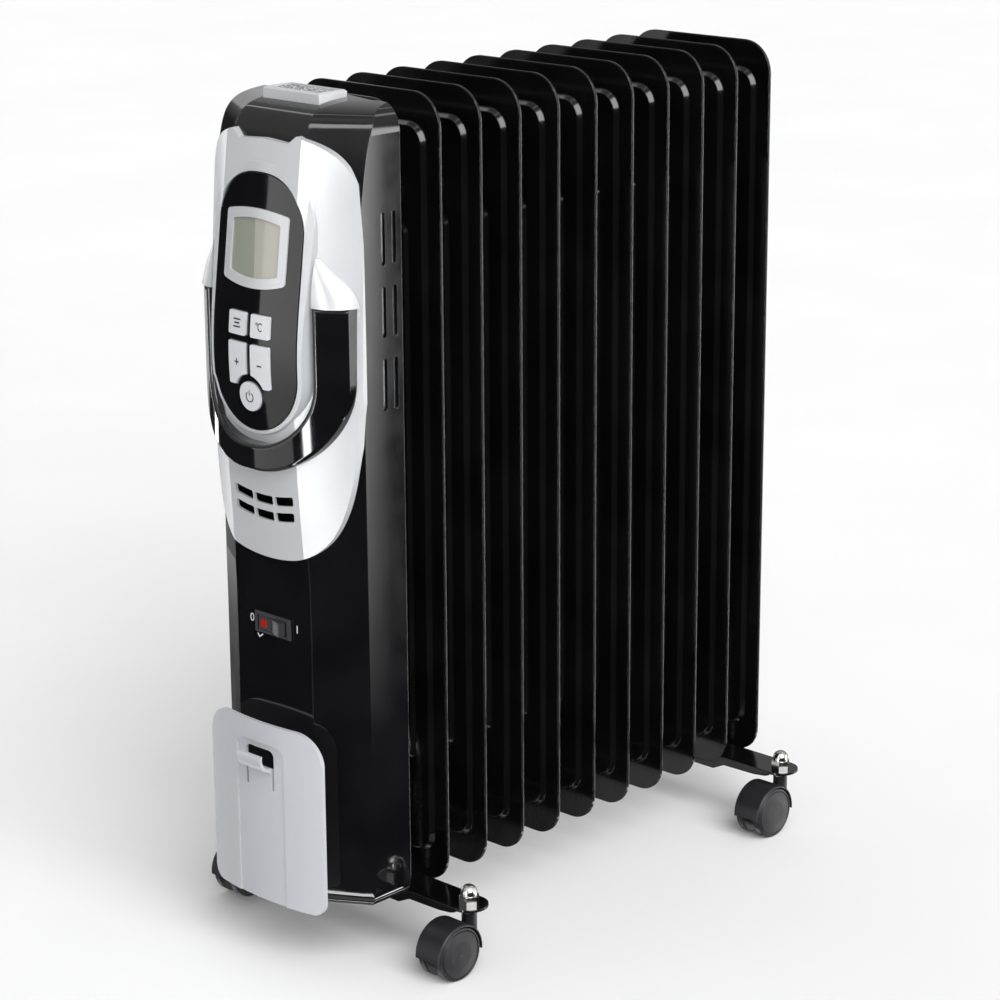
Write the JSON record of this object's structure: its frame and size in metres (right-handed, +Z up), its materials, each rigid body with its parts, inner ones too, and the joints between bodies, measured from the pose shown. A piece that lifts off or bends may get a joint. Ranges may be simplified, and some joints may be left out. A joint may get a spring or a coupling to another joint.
{
  "type": "oil filled radiator heater",
  "caption": "Tall oil filled column heater with pressed steel fins, a control housing with display, keys and rocker, a U shaped grip, a cord tidy plate and twin-wheel castors.",
  "frame": {"origin": "centre of the bounding box on the floor, under the wheels", "axes": "+X towards the right as seen from the control side, +Y from the control side towards the last fin, +Z up"},
  "size_m": [0.248, 0.4966, 0.6297],
  "materials": {
    "black_enamel": "glossy black enamel",
    "bare_steel": "plain steel",
    "zinc_steel": "bright zinc plate",
    "nickel": "bright nickel plate",
    "galvanised": "galvanised sheet",
    "brass": "machined brass",
    "black_gloss": "high gloss black plastic",
    "silver_plastic": "silver painted plastic",
    "silver_satin": "satin silver plastic",
    "lcd_window": "clear window over a grey display",
    "board_green": "green circuit board",
    "dark_plastic": "satin dark grey plastic",
    "red_lens": "red indicator lens",
    "ceramic_white": "white ceramic and steel",
    "black_rubber": "black rubber"
  },
  "bodies": {
    "heater": {"fin_01": "black_enamel", "fin_02": "black_enamel", "fin_03": "black_enamel", "fin_04": "black_enamel", "fin_05": "black_enamel", "fin_06": "black_enamel", "fin_07": "black_enamel", "fin_08": "black_enamel", "fin_09": "black_enamel", "fin_10": "black_enamel", "fin_11": "black_enamel", "header_collars": "black_enamel", "heating_element": "bare_steel", "element_flange": "brass", "filler_plug": "brass", "thermal_cutout": "ceramic_white", "rear_shield": "galvanised", "control_housing": "black_gloss", "silver_fascia": "silver_plastic", "handle_grip": "black_gloss", "display_pod": "black_gloss", "display_bezel": "silver_plastic", "display_window": "lcd_window", "display_board": "board_green", "top_plate": "silver_satin", "switch_housing": "black_gloss", "cord_plate": "silver_satin", "cord_plate_hub": "dark_plastic", "cord_gland": "black_rubber", "control_board": "board_green", "housing_screws": "zinc_steel", "front_foot_bracket": "black_enamel", "rear_foot_bracket": "black_enamel", "header_u_bolts": "zinc_steel", "wing_nuts": "zinc_steel", "castor_stems": "zinc_steel", "cap_nuts": "nickel"},
    "castor_front_left": {"castor_hood_front_left": "dark_plastic", "castor_axle_front_left": "zinc_steel"},
    "wheel_front_left_inner": {"castor_wheel_front_left_inner": "dark_plastic"},
    "wheel_front_left_outer": {"castor_wheel_front_left_outer": "dark_plastic"},
    "castor_front_right": {"castor_hood_front_right": "dark_plastic", "castor_axle_front_right": "zinc_steel"},
    "wheel_front_right_inner": {"castor_wheel_front_right_inner": "dark_plastic"},
    "wheel_front_right_outer": {"castor_wheel_front_right_outer": "dark_plastic"},
    "castor_rear_left": {"castor_hood_rear_left": "dark_plastic", "castor_axle_rear_left": "zinc_steel"},
    "wheel_rear_left_inner": {"castor_wheel_rear_left_inner": "dark_plastic"},
    "wheel_rear_left_outer": {"castor_wheel_rear_left_outer": "dark_plastic"},
    "castor_rear_right": {"castor_hood_rear_right": "dark_plastic", "castor_axle_rear_right": "zinc_steel"},
    "wheel_rear_right_inner": {"castor_wheel_rear_right_inner": "dark_plastic"},
    "wheel_rear_right_outer": {"castor_wheel_rear_right_outer": "dark_plastic"},
    "power_rocker": {"switch_rocker": "black_gloss", "switch_lens": "red_lens"},
    "key_mode": {"button_mode": "silver_plastic"},
    "key_temperature": {"button_temperature": "silver_plastic"},
    "key_plus": {"button_plus": "silver_plastic"},
    "key_minus": {"button_minus": "silver_plastic"},
    "key_power": {"button_power": "silver_plastic"}
  },
  "joints": [
    {"name": "castor_front_left_swivel", "type": "hinge", "parent": "heater", "child": "castor_front_left", "pos_m": [-0.11, -0.13871, 0.0455], "axis": [0, 0, 1], "continuous": true},
    {"name": "wheel_front_left_inner_roll", "type": "hinge", "parent": "castor_front_left", "child": "wheel_front_left_inner", "pos_m": [-0.11, -0.15971, 0.02], "axis": [1, 0, 0], "continuous": true},
    {"name": "wheel_front_left_outer_roll", "type": "hinge", "parent": "castor_front_left", "child": "wheel_front_left_outer", "pos_m": [-0.11, -0.15971, 0.02], "axis": [1, 0, 0], "continuous": true},
    {"name": "castor_front_right_swivel", "type": "hinge", "parent": "heater", "child": "castor_front_right", "pos_m": [0.11, -0.13871, 0.0455], "axis": [0, 0, 1], "continuous": true},
    {"name": "wheel_front_right_inner_roll", "type": "hinge", "parent": "castor_front_right", "child": "wheel_front_right_inner", "pos_m": [0.11, -0.15971, 0.02], "axis": [1, 0, 0], "continuous": true},
    {"name": "wheel_front_right_outer_roll", "type": "hinge", "parent": "castor_front_right", "child": "wheel_front_right_outer", "pos_m": [0.11, -0.15971, 0.02], "axis": [1, 0, 0], "continuous": true},
    {"name": "castor_rear_left_swivel", "type": "hinge", "parent": "heater", "child": "castor_rear_left", "pos_m": [-0.11, 0.22129, 0.0455], "axis": [0, 0, 1], "continuous": true},
    {"name": "wheel_rear_left_inner_roll", "type": "hinge", "parent": "castor_rear_left", "child": "wheel_rear_left_inner", "pos_m": [-0.11, 0.20029, 0.02], "axis": [1, 0, 0], "continuous": true},
    {"name": "wheel_rear_left_outer_roll", "type": "hinge", "parent": "castor_rear_left", "child": "wheel_rear_left_outer", "pos_m": [-0.11, 0.20029, 0.02], "axis": [1, 0, 0], "continuous": true},
    {"name": "castor_rear_right_swivel", "type": "hinge", "parent": "heater", "child": "castor_rear_right", "pos_m": [0.11, 0.22129, 0.0455], "axis": [0, 0, 1], "continuous": true},
    {"name": "wheel_rear_right_inner_roll", "type": "hinge", "parent": "castor_rear_right", "child": "wheel_rear_right_inner", "pos_m": [0.11, 0.20029, 0.02], "axis": [1, 0, 0], "continuous": true},
    {"name": "wheel_rear_right_outer_roll", "type": "hinge", "parent": "castor_rear_right", "child": "wheel_rear_right_outer", "pos_m": [0.11, 0.20029, 0.02], "axis": [1, 0, 0], "continuous": true},
    {"name": "power_rocker_tilt", "type": "hinge", "parent": "heater", "child": "power_rocker", "pos_m": [0, -0.21731, 0.2555], "axis": [0, 0, 1], "range_deg": [0, 20]},
    {"name": "key_mode_press", "type": "slide", "parent": "heater", "child": "key_mode", "axis": [0, 1, 0], "range_m": [0, 0.001], "stiffness_N_per_m": 600},
    {"name": "key_temperature_press", "type": "slide", "parent": "heater", "child": "key_temperature", "axis": [0, 1, 0], "range_m": [0, 0.001], "stiffness_N_per_m": 600},
    {"name": "key_plus_press", "type": "slide", "parent": "heater", "child": "key_plus", "axis": [0, 1, 0], "range_m": [0, 0.001], "stiffness_N_per_m": 600},
    {"name": "key_minus_press", "type": "slide", "parent": "heater", "child": "key_minus", "axis": [0, 1, 0], "range_m": [0, 0.001], "stiffness_N_per_m": 600},
    {"name": "key_power_press", "type": "slide", "parent": "heater", "child": "key_power", "axis": [0, 1, 0], "range_m": [0, 0.001], "stiffness_N_per_m": 600}
  ]
}
